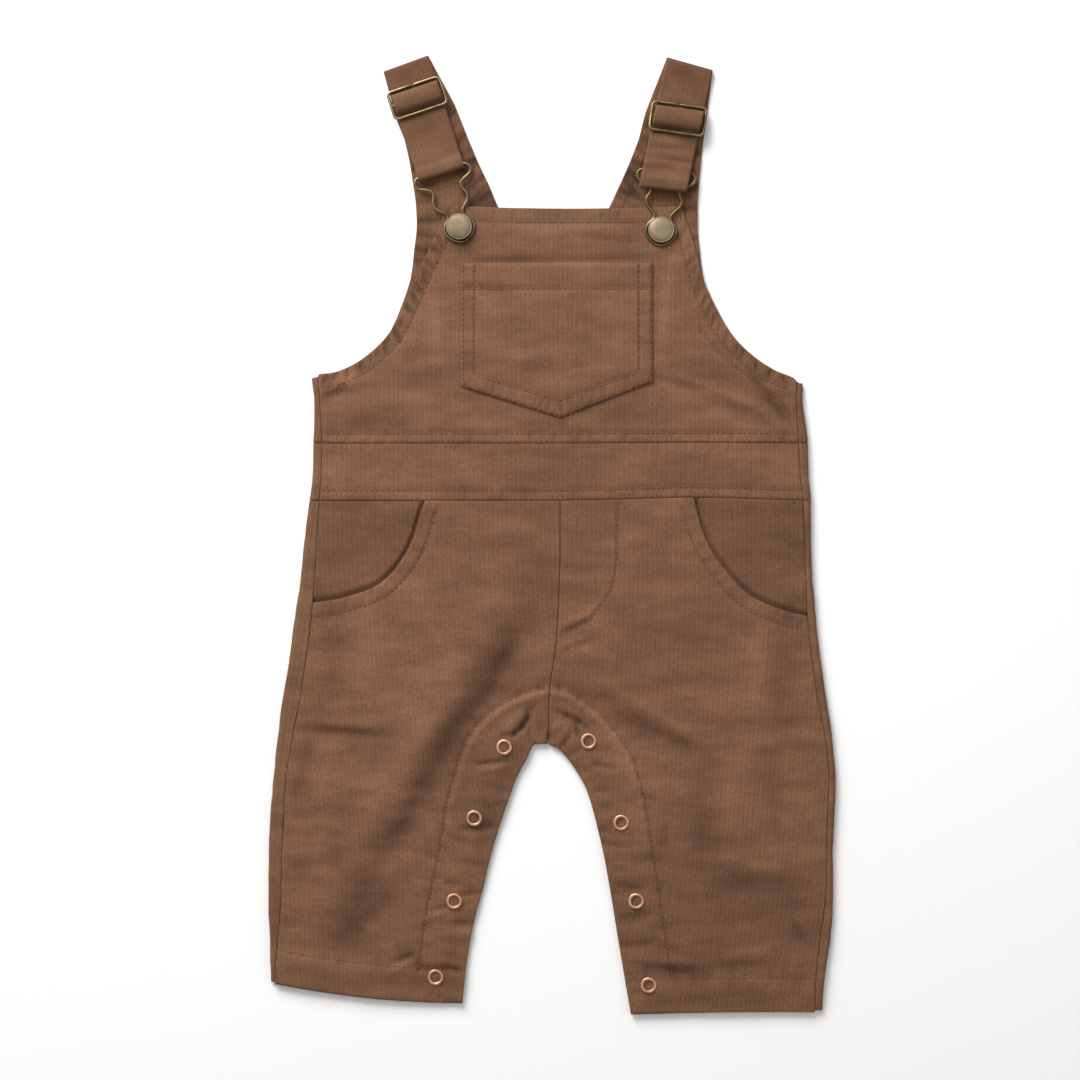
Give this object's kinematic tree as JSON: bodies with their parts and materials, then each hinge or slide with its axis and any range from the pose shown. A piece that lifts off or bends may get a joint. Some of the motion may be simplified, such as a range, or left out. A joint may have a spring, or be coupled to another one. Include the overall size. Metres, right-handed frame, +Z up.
{
  "type": "toddler overalls",
  "caption": "Brown corduroy overalls for a baby or toddler, laid flat, with slider straps hooked to a bib with a pocket, a waistband, scooped hip pockets and a snap inseam",
  "frame": {"origin": "middle of the garment's outline, on the surface it lies on", "axes": "+Y runs from the hems to the straps, +Z is up off the surface out of the front, +X is to the viewer's right when seen from above"},
  "size_m": [0.3067, 0.519, 0.0093],
  "materials": {
    "corduroy": "fine-wale cotton corduroy, soft pile, matte with a faint sheen",
    "antique_brass": "antiqued brass wire, darkened in the hollows",
    "button_metal": "brushed nickel-brass, satin",
    "snap_copper": "rose copper, satin"
  },
  "bodies": {
    "root": {"front_bib": "corduroy", "bib_pocket": "corduroy", "front_waistband": "corduroy", "front_leg_left": "corduroy", "front_leg_right": "corduroy", "hip_pocket_left": "corduroy", "hip_pocket_right": "corduroy", "back_bodice": "corduroy", "back_waistband": "corduroy", "back_leg_left": "corduroy", "back_leg_right": "corduroy", "strap_left": "corduroy", "strap_right": "corduroy", "slider_frame_left": "antique_brass", "slider_frame_right": "antique_brass", "slider_bar_left": "antique_brass", "slider_bar_right": "antique_brass", "hook_left": "antique_brass", "hook_right": "antique_brass", "button_left": "button_metal", "button_right": "button_metal", "snap_left_1": "snap_copper", "snap_left_2": "snap_copper", "snap_left_3": "snap_copper", "snap_left_4": "snap_copper", "snap_right_1": "snap_copper", "snap_right_2": "snap_copper", "snap_right_3": "snap_copper", "snap_right_4": "snap_copper"}
  },
  "joints": []
}
